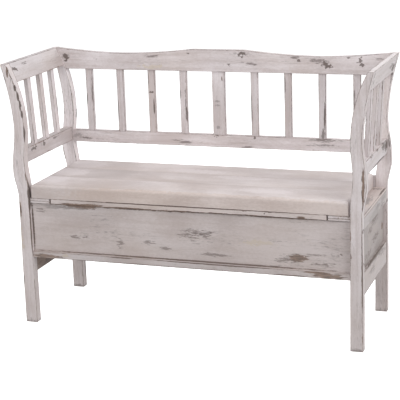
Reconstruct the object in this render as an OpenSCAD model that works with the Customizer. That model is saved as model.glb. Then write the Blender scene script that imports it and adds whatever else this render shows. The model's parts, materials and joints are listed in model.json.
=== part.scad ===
// Storage bench: slatted back and arms on a hinged-lid box, all in softwood.
// X runs along the bench, the front faces -Y, +Z is up. The origin lies on the
// floor under the middle of the bench. All lengths are millimetres.

/* [Overall] */
// width over the outer faces of the legs
leg_span = 1142; // [1100:1:1180]
// depth from the front faces to the rear faces of the posts
depth = 407; // [390:1:425]
// height of the post tops and the ends of the crest rail
arm_top = 865; // [855:1:875]

/* [Posts] */
// post width across the leg, measured along X
post_w = 39; // [38:0.5:42]
// post thickness, measured along Y
post_t = 28; // [28:0.5:32]
// height where the leg ends and the curve starts
waist_low_z = 429; // [428:1:434]
// height of the widest point of the belly
belly_z = 519; // [512:1:526]
// height of the narrow part above the arm rail
waist_high_z = 660; // [650:1:670]
// how far the outer face draws in at the two narrow parts
waist_in = 3; // [2:0.5:5]
// how far the belly stands out from the leg
belly_out = 11; // [8:0.5:12]
// how far the post top leans out from the leg
top_out = 32; // [28:0.5:34]

/* [Arms and back] */
// height of the arm top rails
arm_rail_h = 60; // [54:1:66]
// underside of the arm lower rails
arm_low_z = 542; // [538:1:546]
// height of the arm lower rails
arm_low_h = 46; // [42:1:50]
// thickness of the arm lower rails
arm_low_t = 28; // [26:1:30]
// underside of the crest rail
crest_z = 793; // [788:1:797]
// rise of the central hump above the dips of the crest rail
crest_hump = 16.5; // [12:0.5:18]
// underside of the lower back rail
back_low_z = 537; // [534:1:541]
// height of the lower back rail
back_low_h = 42; // [38:1:44]
// thickness of the crest rail and the lower back rail
back_t = 20; // [18:0.5:22]
// set-back of the back rails from the front of the rear posts
back_reveal = 3; // [2:0.5:4]
// width of a narrow slat
slat_w = 24; // [22:1:28]
// width of the middle slat
slat_mid_w = 44; // [40:1:50]
// thickness of every slat
slat_t = 13; // [12:0.5:14]
// gap between neighbouring back slats
slat_gap = 90.8; // [87:0.2:92]

/* [Box] */
// underside of the front and rear bottom rails
box_z = 227; // [222:1:232]
// thickness of the bottom rails, measured along Z
bottom_rail_h = 20; // [18:1:22]
// top edge of the front and rear panels
panel_top_z = 411; // [408:1:413]
// thickness of the front and rear panels
panel_t = 18; // [16:0.5:19]
// set-back of the front panel from the post faces
panel_recess = 14; // [12:0.5:14]
// underside of the side bottom rails
side_low_z = 174; // [170:1:180]
// height of the side top rails
side_top_h = 38; // [34:1:42]
// thickness of the side panels
side_panel_t = 16; // [14:1:16]
// width of the horizontal deck board at each end of the box
deck_w = 109; // [100:1:112]
// thickness of the deck boards
deck_t = 9; // [8:0.5:10]
// thickness of the floor boards
floor_t = 12; // [10:1:14]

/* [Lid] */
// underside of the lid
lid_z = 427.5; // [427.5:0.5:428.5]
// thickness of the lid planks
lid_t = 46; // [44:1:47]
// gap between the lid ends and the legs
lid_gap = 6.5; // [5.5:0.5:7.5]
// set-back of the lid front from the post faces
lid_recess = 6.5; // [5:0.5:8]
// rounding of the upper outer edges of the lid
lid_round = 11; // [8:1:12]
// clearance round the locating batten under the lid
batten_gap = 4; // [3:0.5:5]

/* [Hinges] */
// room between the lid and the hinge rail, filled by the closed hinge
hinge_gap = 6.5; // [6:0.5:7]
// length of one hinge along the bench
hinge_len = 70; // [60:1:80]
// height of a hinge leaf below the pin
leaf_h = 30; // [26:1:32]
// distance of each hinge from the middle of the bench
hinge_x = 390; // [360:1:410]

/* [Output] */
// name of the sub-part to build, or all

/* [Hidden] */
$fn = 24;
half = leg_span / 2;
front_y = -depth / 2;
rear_y = depth / 2;
// plane where the front posts end and plane where the rear posts start
arm_y0 = front_y + post_t;
arm_y1 = rear_y - post_t;
arm_len = arm_y1 - arm_y0;
inner_x = half - post_w;
inner_belly_z = belly_z + 26;
inner_waist_z = waist_high_z - 15;
belly_in = post_w - 8.5;
waist_w = post_w - 3.5;
top_w = 18;
curve_steps = 9;

box_top_z = box_z + bottom_rail_h;
rail_depth = 40;
rail_recess = 4;
side_in_x = half - post_t;
side_out_x = side_in_x + side_panel_t;
deck_top_z = lid_z - 0.5;
deck_z = deck_top_z - deck_t;
side_top_z = deck_z - side_top_h;
groove = 8;
panel_front_y = front_y + panel_recess;
panel_back_y = panel_front_y + panel_t;
deck_in_x = half - deck_w;

lid_half = inner_x - lid_gap;
lid_front_y = front_y + lid_recess;
lid_rear_y = arm_y1 - hinge_gap;
lid_d = lid_rear_y - lid_front_y;
plank_w = lid_d / 3;
lid_top_z = lid_z + lid_t;
pin_y = lid_rear_y + hinge_gap / 2;
pin_z = lid_top_z - 4;
knuckle_r = hinge_gap / 2 - 0.2;
pin_r = 1.6;
pin_play = 0.05;
leaf_t = 2;
hinge_rail_top = pin_z - 8;

dowel_d = 8;
dowel_l = 30;
bolt_d = 6;
bolt_head_d = 10;
bolt_y = front_y + panel_recess + 7;
bolt_low_z = box_top_z + 26;
bolt_high_z = panel_top_z - 29;
nut_d = 10;
nut_x = inner_x - 26;
nut_l = 12;

slat_in = 10;
back_front_y = arm_y1 + back_reveal;
slat_y = back_front_y + (back_t - slat_t) / 2;

wood = [0.80, 0.76, 0.74];
wood_dark = [0.72, 0.67, 0.64];
lid_wood = [0.84, 0.80, 0.77];
steel = [0.55, 0.55, 0.55];
beech = [0.78, 0.64, 0.46];

// ---------- curve of the posts ----------
function ease(t) = (1 - cos(180 * t)) / 2;
function mix(a, b, t) = a + (b - a) * t;
function part_of(z, z0, z1) = min(1, max(0, (z - z0) / (z1 - z0)));

// distance of the outer face from the plane of the leg, outwards positive
function post_outer(z) =
    z < waist_low_z ? mix(0, -waist_in, ease(part_of(z, 150, waist_low_z)))
    : z < belly_z ? mix(-waist_in, belly_out, ease(part_of(z, waist_low_z, belly_z)))
    : z < waist_high_z ? mix(belly_out, -waist_in, ease(part_of(z, belly_z, waist_high_z)))
    : mix(-waist_in, top_out, pow(part_of(z, waist_high_z, arm_top), 1.7));

// the same for the inner face, whose belly sits a little higher
function post_inner(z) =
    z < inner_belly_z
    ? mix(-post_w, -belly_in, ease(part_of(z, waist_low_z + 24, inner_belly_z)))
    : z < inner_waist_z
    ? mix(-belly_in, -waist_in - waist_w, ease(part_of(z, inner_belly_z, inner_waist_z)))
    : mix(-waist_in - waist_w, top_out - top_w, pow(part_of(z, inner_waist_z, arm_top), 2.2));

function span_heights(z0, z1, steps) = [for (i = [0 : steps - 1]) mix(z0, z1, i / steps)];
post_heights = concat([0], span_heights(150, waist_low_z, 4),
    span_heights(waist_low_z, belly_z, curve_steps), span_heights(belly_z, waist_high_z, curve_steps),
    span_heights(waist_high_z, arm_top, curve_steps), [arm_top]);

// board section between two heights that follows the posts on both faces
function curved_section(z0, z1) =
    let (zs = concat([z0], [for (z = post_heights) if (z > z0 + 1 && z < z1 - 1) z], [z1]), n = len(zs))
    concat([for (i = [0 : n - 1]) [half + post_outer(zs[i]), zs[i]]],
        [for (i = [n - 1 : -1 : 0]) [half + post_inner(zs[i]), zs[i]]]);

module side_copy(side) {
    if (side > 0) children();
    else mirror([1, 0, 0]) children();
}

// extrudes an X-Z outline along Y between two planes
module along_y(y0, y1) {
    translate([0, y1, 0]) rotate([90, 0, 0]) linear_extrude(y1 - y0) children();
}

module box_between(a, b) {
    translate(a) cube(b - a);
}

module rod_x(x0, x1, y, z, d) {
    translate([x0, y, z]) rotate([0, 90, 0]) cylinder(h = x1 - x0, d = d);
}

module rod_y(x, y0, y1, z, d) {
    translate([x, y1, z]) rotate([90, 0, 0]) cylinder(h = y1 - y0, d = d);
}

// ---------- dowels and bolts ----------
// heights of the dowels in one rail of height h that starts at z
function dowel_rows(z, h) = [z + h * 0.27, z + h * 0.73];

// dowels along X that join the cross rails to the right-hand posts
module rear_cross_dowels() {
    for (z = dowel_rows(crest_z, 62))
        rod_x(half + post_inner(z) - 20, half + post_inner(z) + 10, back_front_y + back_t / 2, z, dowel_d);
    for (z = dowel_rows(back_low_z, back_low_h))
        rod_x(half + post_inner(z) - 15, half + post_inner(z) + 15, back_front_y + back_t / 2, z, dowel_d);
    for (z = dowel_rows(panel_top_z, hinge_rail_top - panel_top_z))
        rod_x(half + post_inner(z) - 15, half + post_inner(z) + 15, arm_y1 + 11, z, dowel_d);
    rod_x(inner_x - 15, inner_x + 15, rear_y - rail_recess - 10, box_z + bottom_rail_h / 2, dowel_d);
}

module front_cross_dowels() {
    rod_x(inner_x - 15, inner_x + 15, front_y + rail_recess + 10, box_z + bottom_rail_h / 2, dowel_d);
}

// dowels along Y at one end of the arm and side rails of the right-hand side
module end_dowels(y) {
    arm_x = half + (post_outer(835) + post_inner(835)) / 2;
    rod_y(arm_x, y - dowel_l / 2, y + dowel_l / 2, arm_top - arm_rail_h / 2, dowel_d);
    for (z = dowel_rows(arm_low_z, arm_low_h))
        rod_y(arm_low_x, y - dowel_l / 2, y + dowel_l / 2, z, dowel_d);
    rail_x = half - 8;
    for (z = dowel_rows(side_low_z, box_top_z - side_low_z))
        rod_y(rail_x - 6, y - dowel_l / 2, y + dowel_l / 2, z, dowel_d);
    rod_y(rail_x - 6, y - dowel_l / 2, y + dowel_l / 2, side_top_z + side_top_h / 2, dowel_d);
}

// bolt shafts of the right-hand side, from the counterbore to the barrel nut
module bolt_at(z, y, with_bore) {
    face = half + post_outer(z);
    shaft = with_bore ? bolt_d + 0.4 : bolt_d;
    rod_x(nut_x - 6, face - 4, y, z, shaft);
    if (with_bore) rod_x(face - 8, face + 6, y, z, bolt_head_d + 1);
    else rod_x(face - 8, face - 3, y, z, bolt_head_d);
}

module bolts_right(with_bore) {
    for (z = [bolt_low_z, bolt_high_z]) {
        bolt_at(z, bolt_y, with_bore);
        bolt_at(z, -bolt_y, with_bore);
    }
}

// barrel nuts lie across the panels, flush with their inner faces
module nuts_right(d) {
    for (z = [bolt_low_z, bolt_high_z]) {
        rod_y(nut_x, panel_back_y - nut_l, panel_back_y, z, d);
        rod_y(nut_x, -panel_back_y, -panel_back_y + nut_l, z, d);
    }
}

// ---------- posts ----------
module post_blank(y0) {
    along_y(y0, y0 + post_t) polygon(curved_section(0, arm_top));
}

module side_panel_blank() {
    box_between([side_in_x, arm_y0 - groove, box_top_z - groove],
        [side_out_x, arm_y1 + groove, side_top_z + groove]);
}

module post_front_right() {
    color(wood) difference() {
        post_blank(front_y);
        side_panel_blank();
        bolts_right(true);
        front_cross_dowels();
        end_dowels(arm_y0);
    }
}

module post_rear_right() {
    color(wood) difference() {
        post_blank(arm_y1);
        side_panel_blank();
        bolts_right(true);
        rear_cross_dowels();
        end_dowels(arm_y1);
    }
}

// ---------- arms ----------
arm_slat_low = arm_low_z + arm_low_h;
arm_slat_high = arm_top - arm_rail_h;
function arm_slat_y(i) = arm_y0 + arm_len * i / 4;
arm_low_x = half - 1 - arm_low_t / 2;
slat_low_x = arm_low_x + 1;
slat_high_x = half - 1.5;
slat_lean = atan((slat_high_x - slat_low_x) / (arm_slat_high - arm_slat_low));
slat_length = (arm_slat_high - arm_slat_low) / cos(slat_lean);

// leaning slat whose ends run into the rails
module arm_slat(i) {
    translate([slat_low_x, arm_slat_y(i) - slat_w / 2, arm_slat_low]) rotate([0, slat_lean, 0])
        translate([-slat_t / 2, 0, -slat_in]) cube([slat_t, slat_w, slat_length + 2 * slat_in]);
}

module arm_slats() {
    for (i = [1 : 3]) arm_slat(i);
}

module arm_top_rail_right() {
    color(wood) difference() {
        along_y(arm_y0, arm_y1) polygon(curved_section(arm_slat_high, arm_top));
        arm_slats();
        end_dowels(arm_y0);
        end_dowels(arm_y1);
    }
}

module arm_lower_rail_right() {
    color(wood) difference() {
        box_between([arm_low_x - arm_low_t / 2, arm_y0, arm_low_z],
            [arm_low_x + arm_low_t / 2, arm_y1, arm_slat_low]);
        arm_slats();
        end_dowels(arm_y0);
        end_dowels(arm_y1);
    }
}

// ---------- back ----------
crest_flat = 92;
crest_dip = 355;
crest_end = half + top_out - top_w;
// flat hump in the middle, a hollow at each side, rising again to the ends
function crest_height(x) =
    let (a = abs(x), hump = arm_top + 1, dip = hump - crest_hump)
    a < crest_flat ? hump
    : a < crest_dip ? mix(hump, dip, 1 - pow(1 - part_of(a, crest_flat, crest_dip), 2))
    : mix(dip, arm_top, pow(part_of(a, crest_dip, crest_end), 1.5));

module crest_outline() {
    side_xs = concat([for (i = [0 : 9]) mix(crest_end, crest_dip, i / 10)],
        [for (i = [0 : 12]) mix(crest_dip, crest_flat, i / 12)]);
    right = [for (x = side_xs) [x, crest_height(x)]];
    left = [for (i = [len(side_xs) - 1 : -1 : 0]) [-side_xs[i], crest_height(side_xs[i])]];
    low_x = half + post_inner(crest_z) + 6;
    polygon(concat([[-low_x, crest_z], [low_x, crest_z]], right, left));
}

function slat_offset(n) = n == 0 ? 0 : (slat_mid_w - slat_w) / 2 + n * (slat_w + slat_gap);
function back_slat_x(i) = sign(i - 5) * slat_offset(abs(i - 5));

module back_slat(i) {
    w = i == 5 ? slat_mid_w : slat_w;
    box_between([back_slat_x(i) - w / 2, slat_y, back_low_z + back_low_h - slat_in],
        [back_slat_x(i) + w / 2, slat_y + slat_t, crest_z + slat_in]);
}

module both_sides() {
    children();
    mirror([1, 0, 0]) children();
}

module crest_rail() {
    color(wood) difference() {
        along_y(back_front_y, back_front_y + back_t) crest_outline();
        both_sides() {
            post_blank(arm_y1);
            rear_cross_dowels();
        }
        for (i = [1 : 9]) back_slat(i);
    }
}

module back_lower_rail() {
    color(wood) difference() {
        box_between([-half + 5, back_front_y, back_low_z],
            [half - 5, back_front_y + back_t, back_low_z + back_low_h]);
        both_sides() {
            post_blank(arm_y1);
            rear_cross_dowels();
        }
        for (i = [1 : 9]) back_slat(i);
    }
}

// ---------- box ----------
module panel_blank() {
    box_between([-inner_x, panel_front_y, box_top_z], [inner_x, panel_back_y, panel_top_z]);
}

module front_panel() {
    color(wood_dark) difference() {
        panel_blank();
        both_sides() {
            bolts_right(true);
            nuts_right(nut_d + 0.2);
        }
    }
}

module rear_panel() {
    color(wood_dark) mirror([0, 1, 0]) front_panel();
}

// the frame bolts run through the edges of the side panel inside the posts
module side_panel_right() {
    color(wood_dark) difference() {
        side_panel_blank();
        bolts_right(true);
    }
}

module side_top_rail_right() {
    color(wood) difference() {
        box_between([side_in_x, arm_y0, side_top_z], [half - waist_in, arm_y1, deck_z]);
        side_panel_blank();
        end_dowels(arm_y0);
        end_dowels(arm_y1);
    }
}

module side_bottom_rail_right() {
    color(wood) difference() {
        box_between([inner_x, arm_y0, side_low_z], [half - 2, arm_y1, box_top_z]);
        side_panel_blank();
        end_dowels(arm_y0);
        end_dowels(arm_y1);
    }
}

module front_bottom_rail() {
    color(wood) difference() {
        box_between([-inner_x, front_y + rail_recess, box_z],
            [inner_x, front_y + rail_recess + rail_depth, box_top_z]);
        both_sides() front_cross_dowels();
    }
}

module rear_bottom_rail() {
    color(wood) difference() {
        box_between([-inner_x, rear_y - rail_recess - rail_depth, box_z],
            [inner_x, rear_y - rail_recess, box_top_z]);
        both_sides() rear_cross_dowels();
    }
}

module hinge_rail() {
    color(wood) difference() {
        box_between([-half + 20, arm_y1, panel_top_z], [half - 20, arm_y1 + 22, hinge_rail_top]);
        both_sides() {
            post_blank(arm_y1);
            rear_cross_dowels();
        }
        hinge_screws(1, true);
    }
}

// horizontal board at each end of the box, cut away round the front post
module deck_board_right() {
    color(wood) difference() {
        box_between([deck_in_x, front_y + lid_recess, deck_z], [half - waist_in, arm_y1, deck_top_z]);
        post_blank(front_y);
    }
}

module front_block_right() {
    color(wood) box_between([deck_in_x, front_y + lid_recess, panel_top_z],
        [inner_x, panel_back_y, deck_z]);
}

bearer_x = 330;
bearer_w = 45;
module floor_bearer_right() {
    color(wood) box_between([bearer_x - bearer_w / 2, front_y + rail_recess + rail_depth, box_z],
        [bearer_x + bearer_w / 2, rear_y - rail_recess - rail_depth, box_top_z]);
}

floor_gap = 2;
floor_w = (-2 * panel_back_y - 2 * floor_gap) / 3;
module floor_board(i) {
    y0 = panel_back_y + i * (floor_w + floor_gap);
    color(wood_dark) box_between([-side_in_x + 1, y0, box_top_z],
        [side_in_x - 1, y0 + floor_w, box_top_z + floor_t]);
}

module frame_bolts() {
    color(steel) both_sides() difference() {
        bolts_right(false);
        for (z = [bolt_low_z, bolt_high_z], y = [bolt_y, -bolt_y])
            translate([half + post_outer(z) - 5, y, z]) rotate([0, 90, 0]) cylinder(h = 4, d = 5, $fn = 6);
    }
}

module barrel_nuts() {
    color(steel) both_sides() difference() {
        nuts_right(nut_d);
        for (z = [bolt_low_z, bolt_high_z], y = [bolt_y, -bolt_y])
            rod_x(nut_x - 10, nut_x + 10, y, z, bolt_d);
    }
}

module rail_dowels() {
    color(beech) both_sides() {
        rear_cross_dowels();
        front_cross_dowels();
        end_dowels(arm_y0);
        end_dowels(arm_y1);
    }
}

// ---------- lid ----------
// plank with rounded upper edges at both ends and, if asked, at one long side
module lid_blank() {
    r = lid_round;
    x1 = lid_half;
    difference() {
        box_between([-x1, lid_front_y, lid_z], [x1, lid_rear_y, lid_top_z]);
        both_sides() difference() {
            box_between([x1 - r, lid_front_y - 1, lid_top_z - r], [x1 + 1, lid_rear_y + 1, lid_top_z + 1]);
            rod_y(x1 - r, lid_front_y - 2, lid_rear_y + 2, lid_top_z - r, 2 * r);
        }
        difference() {
            box_between([-x1 - 1, lid_front_y - 1, lid_top_z - r], [x1 + 1, lid_front_y + r, lid_top_z + 1]);
            rod_x(-x1 - 2, x1 + 2, lid_front_y + r, lid_top_z - r, 2 * r);
        }
    }
}

cross_x = 300;
cross_w = 50;
cross_h = 20;
cross_y0 = lid_front_y + 40;
cross_y1 = lid_rear_y - 30;
batten_d = 22;
screw_d = 4;

module lid_screw_at(x, y, z0, len, head) {
    translate([x, y, z0]) cylinder(h = len, d = screw_d);
    translate([x, y, z0]) cylinder(h = 3, d1 = head, d2 = screw_d);
}

module lid_screw_set(grow) {
    for (x = [-cross_x, cross_x], i = [0 : 2])
        lid_screw_at(x, lid_front_y + plank_w * (i + 0.5) + (i - 1) * -8, lid_z - cross_h, 40, 8 + grow);
    for (x = [-350, -120, 120, 350])
        lid_screw_at(x, lid_front_y + batten_d / 2, lid_z - (lid_z - panel_top_z) + 0.5, 40, 8 + grow);
}

module lid_plank(i) {
    y0 = lid_front_y + i * plank_w;
    color(lid_wood) difference() {
        intersection() {
            lid_blank();
            box_between([-half, y0, lid_z - 1], [half, y0 + plank_w, lid_top_z + 1]);
        }
        lid_screw_set(0);
        if (i == 2) hinge_screws(-1, true);
    }
}

module lid_front_batten() {
    color(wood) difference() {
        box_between([-deck_in_x + batten_gap, lid_front_y, panel_top_z + 0.5],
            [deck_in_x - batten_gap, lid_front_y + batten_d, lid_z]);
        lid_screw_set(0);
    }
}

module lid_cross_batten_right() {
    color(wood) difference() {
        box_between([cross_x - cross_w / 2, cross_y0, lid_z - cross_h],
            [cross_x + cross_w / 2, cross_y1, lid_z]);
        lid_screw_set(0);
    }
}

module lid_screws() {
    color(steel) lid_screw_set(0);
}

// ---------- hinges ----------
// side 1 is the leaf on the hinge rail, side -1 the leaf on the lid
module hinge_screws(side, as_hole) {
    y_face = pin_y + side * hinge_gap / 2;
    for (x0 = [-hinge_x, hinge_x], k = [-1, 0, 1])
        translate([x0 + k * hinge_len * 0.34, y_face - side * leaf_t, pin_z - leaf_h * 0.6 - (k == 0 ? 6 : 0)])
            rotate([-side * 90, 0, 0]) {
                cylinder(h = 18, d = 3.5);
                cylinder(h = 1.8, d1 = 7, d2 = 3.5);
            }
}

module knuckle(x0, x1) {
    rod_x(x0, x1, pin_y, pin_z, 2 * knuckle_r);
}

module leaf_plate(side) {
    y_face = pin_y + side * hinge_gap / 2;
    y_in = y_face - side * leaf_t;
    box_between([-hinge_len / 2, min(y_face, y_in), pin_z - leaf_h],
        [hinge_len / 2, max(y_face, y_in), pin_z]);
}

third = hinge_len / 3;
module leaf_one(side) {
    difference() {
        union() {
            leaf_plate(side);
            if (side > 0) {
                knuckle(-hinge_len / 2, -third / 2);
                knuckle(third / 2, hinge_len / 2);
            } else knuckle(-third / 2 + 0.3, third / 2 - 0.3);
        }
        if (side > 0) box_between([-third / 2, pin_y - 9, pin_z - knuckle_r - 1], [third / 2, pin_y + 9, pin_z + 9]);
        else for (m = [0, 1]) mirror([m, 0, 0])
            box_between([third / 2 - 0.3, pin_y - 9, pin_z - knuckle_r - 1], [hinge_len, pin_y + 9, pin_z + 9]);
        rod_x(-hinge_len, hinge_len, pin_y, pin_z, 2 * (pin_r + (side > 0 ? 0 : pin_play)));
    }
}

module hinge_leaves(side) {
    color(steel) difference() {
        for (x0 = [-hinge_x, hinge_x]) translate([x0, 0, 0]) leaf_one(side);
        hinge_screws(side, true);
    }
}

module hinge_pins() {
    color(steel) for (x0 = [-hinge_x, hinge_x])
        rod_x(x0 - hinge_len / 2, x0 + hinge_len / 2, pin_y, pin_z, 2 * pin_r);
}

side_copy(-1) post_front_right();  // post_front_left
post_front_right();
side_copy(-1) post_rear_right();  // post_rear_left
post_rear_right();
side_copy(-1) arm_top_rail_right();  // arm_top_rail_left
arm_top_rail_right();
side_copy(-1) arm_lower_rail_right();  // arm_lower_rail_left
arm_lower_rail_right();
side_copy(-1) color(wood) arm_slat(1);  // arm_slat_left_1
side_copy(-1) color(wood) arm_slat(2);  // arm_slat_left_2
side_copy(-1) color(wood) arm_slat(3);  // arm_slat_left_3
color(wood) arm_slat(1);  // arm_slat_right_1
color(wood) arm_slat(2);  // arm_slat_right_2
color(wood) arm_slat(3);  // arm_slat_right_3
crest_rail();
back_lower_rail();
color(wood) back_slat(1);  // back_slat_1
color(wood) back_slat(2);  // back_slat_2
color(wood) back_slat(3);  // back_slat_3
color(wood) back_slat(4);  // back_slat_4
color(wood) back_slat(5);  // back_slat_centre
color(wood) back_slat(6);  // back_slat_6
color(wood) back_slat(7);  // back_slat_7
color(wood) back_slat(8);  // back_slat_8
color(wood) back_slat(9);  // back_slat_9
front_panel();
rear_panel();
side_copy(-1) side_panel_right();  // side_panel_left
side_panel_right();
side_copy(-1) side_top_rail_right();  // side_top_rail_left
side_top_rail_right();
side_copy(-1) side_bottom_rail_right();  // side_bottom_rail_left
side_bottom_rail_right();
front_bottom_rail();
rear_bottom_rail();
hinge_rail();
side_copy(-1) deck_board_right();  // deck_board_left
deck_board_right();
side_copy(-1) front_block_right();  // front_block_left
front_block_right();
side_copy(-1) floor_bearer_right();  // floor_bearer_left
floor_bearer_right();
floor_board(0);  // floor_board_front
floor_board(1);  // floor_board_middle
floor_board(2);  // floor_board_rear
frame_bolts();
barrel_nuts();
rail_dowels();
lid_plank(0);  // lid_plank_front
lid_plank(1);  // lid_plank_middle
lid_plank(2);  // lid_plank_rear
lid_front_batten();
side_copy(-1) lid_cross_batten_right();  // lid_cross_batten_left
lid_cross_batten_right();
lid_screws();
hinge_leaves(1);  // hinge_rail_leaves
hinge_leaves(-1);  // hinge_lid_leaves
hinge_pins();
color(steel) hinge_screws(1, false);  // hinge_rail_screws
color(steel) hinge_screws(-1, false);  // hinge_lid_screws
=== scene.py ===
import json
import math
import random
from collections import namedtuple

import bpy
from mathutils import Matrix, Vector


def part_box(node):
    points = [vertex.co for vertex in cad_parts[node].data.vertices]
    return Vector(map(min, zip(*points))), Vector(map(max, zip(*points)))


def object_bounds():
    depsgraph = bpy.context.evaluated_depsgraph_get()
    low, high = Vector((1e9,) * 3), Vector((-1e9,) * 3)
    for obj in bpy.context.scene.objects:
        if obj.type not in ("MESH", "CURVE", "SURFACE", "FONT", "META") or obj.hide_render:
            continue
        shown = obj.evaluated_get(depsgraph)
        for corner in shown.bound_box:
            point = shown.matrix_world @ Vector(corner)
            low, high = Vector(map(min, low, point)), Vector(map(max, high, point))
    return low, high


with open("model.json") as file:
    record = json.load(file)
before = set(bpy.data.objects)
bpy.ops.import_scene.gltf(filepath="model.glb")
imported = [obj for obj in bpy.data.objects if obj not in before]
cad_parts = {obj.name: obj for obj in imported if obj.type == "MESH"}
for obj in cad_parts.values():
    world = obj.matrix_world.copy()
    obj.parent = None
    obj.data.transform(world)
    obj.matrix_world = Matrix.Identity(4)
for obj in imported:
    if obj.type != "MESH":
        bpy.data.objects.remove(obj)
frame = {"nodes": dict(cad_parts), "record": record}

BOUNDS_AT_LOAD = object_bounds()
LOW, HIGH = BOUNDS_AT_LOAD
NODES = frame["nodes"]
SLOT_OF = {entry["node"]: entry["material_slot"] for entry in frame["record"]["subparts"]}
MM = 0.001
X, Y, Z = 0, 1, 2

# linear colours of the finish, and of the painted light and shade on it
WASH_PALE = (0.69, 0.641, 0.653, 1)
WASH_THIN = (0.51, 0.450, 0.445, 1)
WASH_WARM = (0.60, 0.50, 0.44, 1)
WASH_COOL = (0.55, 0.53, 0.55, 1)
RING_LINE = (0.40, 0.325, 0.29, 1)
# bare wood of chips and worn edges, and the colour of painted shadow in the gap under the lid's
# batten
BARE_WOOD_AND_GAP_SHADOW = (0.20, 0.130, 0.094, 1)
# dark wood of knots, holes, cracks and worn edges, and the colour of painted shadow in seams
DARK_WOOD_AND_SEAM_SHADOW = (0.085, 0.058, 0.048, 1)
SCUFF_DARK = (0.135, 0.108, 0.100, 1)
# grey of scuffs, smears and knot halos, and of the painted shadow on the lid
SCUFF_AND_SHADOW_GREY = (0.30, 0.265, 0.258, 1)
STAIN_TAN = (0.56, 0.48, 0.385, 1)
BEIGE = (0.975, 0.935, 0.895, 1)
# painted light: the pale patches on the lid planks
PAINTED_LIGHT_WHITE = (0.80, 0.745, 0.765, 1)
# linear colours of everything else
RAW_WOOD = (0.56, 0.435, 0.325, 1)
DOWEL_WOOD = (0.66, 0.48, 0.30, 1)
ZINC = (0.50, 0.50, 0.51, 1)
ZINC_DULL = (0.36, 0.355, 0.35, 1)
PAPER = (0.83, 0.83, 0.83, 1)
PAPER_SHADE = (0.80, 0.80, 0.80, 1)


# ---------- shaders ----------
class Shader:
    """One material under construction, with short calls for the nodes it needs."""

    def __init__(self, name):
        self.material = bpy.data.materials.new(name)
        self.material.use_nodes = True
        self.tree = self.material.node_tree
        self.surface = self.tree.nodes["Principled BSDF"]
        self.place = self.add("ShaderNodeTexCoord").outputs["Object"]

    def add(self, kind, **settings):
        node = self.tree.nodes.new(kind)
        for key, value in settings.items():
            setattr(node, key, value)
        return node

    def fill(self, socket, value):
        """Link the socket if value is a socket, else set it."""
        if isinstance(value, bpy.types.NodeSocket):
            self.tree.links.new(value, socket)
        else:
            socket.default_value = value

    def fill_all(self, node, values):
        for socket, value in zip(node.inputs, values):
            self.fill(socket, value)

    def math(self, operation, *values, clamp=False):
        node = self.add("ShaderNodeMath", operation=operation, use_clamp=clamp)
        self.fill_all(node, values)
        return node.outputs[0]

    def vector(self, operation, *values):
        node = self.add("ShaderNodeVectorMath", operation=operation)
        self.fill_all(node, values)
        return node.outputs["Value" if operation == "LENGTH" else "Vector"]

    def noise(self, vector, scale, detail=3, roughness=0.55, distortion=0.0, coloured=False):
        """Noise value at vector, or three unlike values as a colour."""
        node = self.add("ShaderNodeTexNoise")
        self.fill(node.inputs["Vector"], vector)
        node.inputs["Scale"].default_value = scale
        node.inputs["Detail"].default_value = detail
        node.inputs["Roughness"].default_value = roughness
        node.inputs["Distortion"].default_value = distortion
        return node.outputs["Color"] if coloured else node.outputs[0]

    def step(self, value, start, end, low=0.0, high=1.0):
        """Smooth step of value: low at start, high at end."""
        node = self.add("ShaderNodeMapRange", interpolation_type="SMOOTHSTEP")
        self.fill_all(node, (value, start, end, low, high))
        return node.outputs["Result"]

    def mix(self, factor, first, second, blend="MIX"):
        """Mix of two colours. A Mix node has its colours at inputs 6 and 7 and output 2."""
        node = self.add("ShaderNodeMix", data_type="RGBA", blend_type=blend)
        self.fill(node.inputs["Factor"], factor)
        self.fill(node.inputs[6], first)
        self.fill(node.inputs[7], second)
        return node.outputs[2]

    def split(self, vector):
        node = self.add("ShaderNodeSeparateXYZ")
        self.fill(node.inputs[0], vector)
        return list(node.outputs)

    def join(self, values):
        node = self.add("ShaderNodeCombineXYZ")
        self.fill_all(node, values)
        return node.outputs[0]

    def follow(self, value, points):
        """Height of the broken line through points, looked up at value."""
        low = [min(column) for column in zip(*points)]
        high = [max(column) for column in zip(*points)]
        span = [top - bottom for bottom, top in zip(low, high)]
        curve = self.add("ShaderNodeFloatCurve")
        line = curve.mapping.curves[0]
        placed = [((x - low[0]) / span[0], (y - low[1]) / span[1]) for x, y in points]
        line.points[0].location = placed[0]
        line.points[-1].location = placed[-1]
        for place in placed[1:-1]:
            line.points.new(*place)
        for point in line.points:
            point.handle_type = "VECTOR"
        curve.mapping.update()
        part = self.math("DIVIDE", self.math("SUBTRACT", value, low[0]), span[0], clamp=True)
        self.fill(curve.inputs["Value"], part)
        return self.math("MULTIPLY_ADD", curve.outputs[0], span[1], low[1])

    def complete(self, colour, roughness, height, strength, distance):
        """The material, once its surface has a colour, a roughness and a relief made from height."""
        relief = self.add("ShaderNodeBump")
        relief.inputs["Strength"].default_value = strength
        relief.inputs["Distance"].default_value = distance
        self.fill(relief.inputs["Height"], height)
        self.fill(self.surface.inputs["Normal"], relief.outputs[0])
        self.fill(self.surface.inputs["Base Color"], colour)
        self.fill(self.surface.inputs["Roughness"], roughness)
        return self.material


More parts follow.
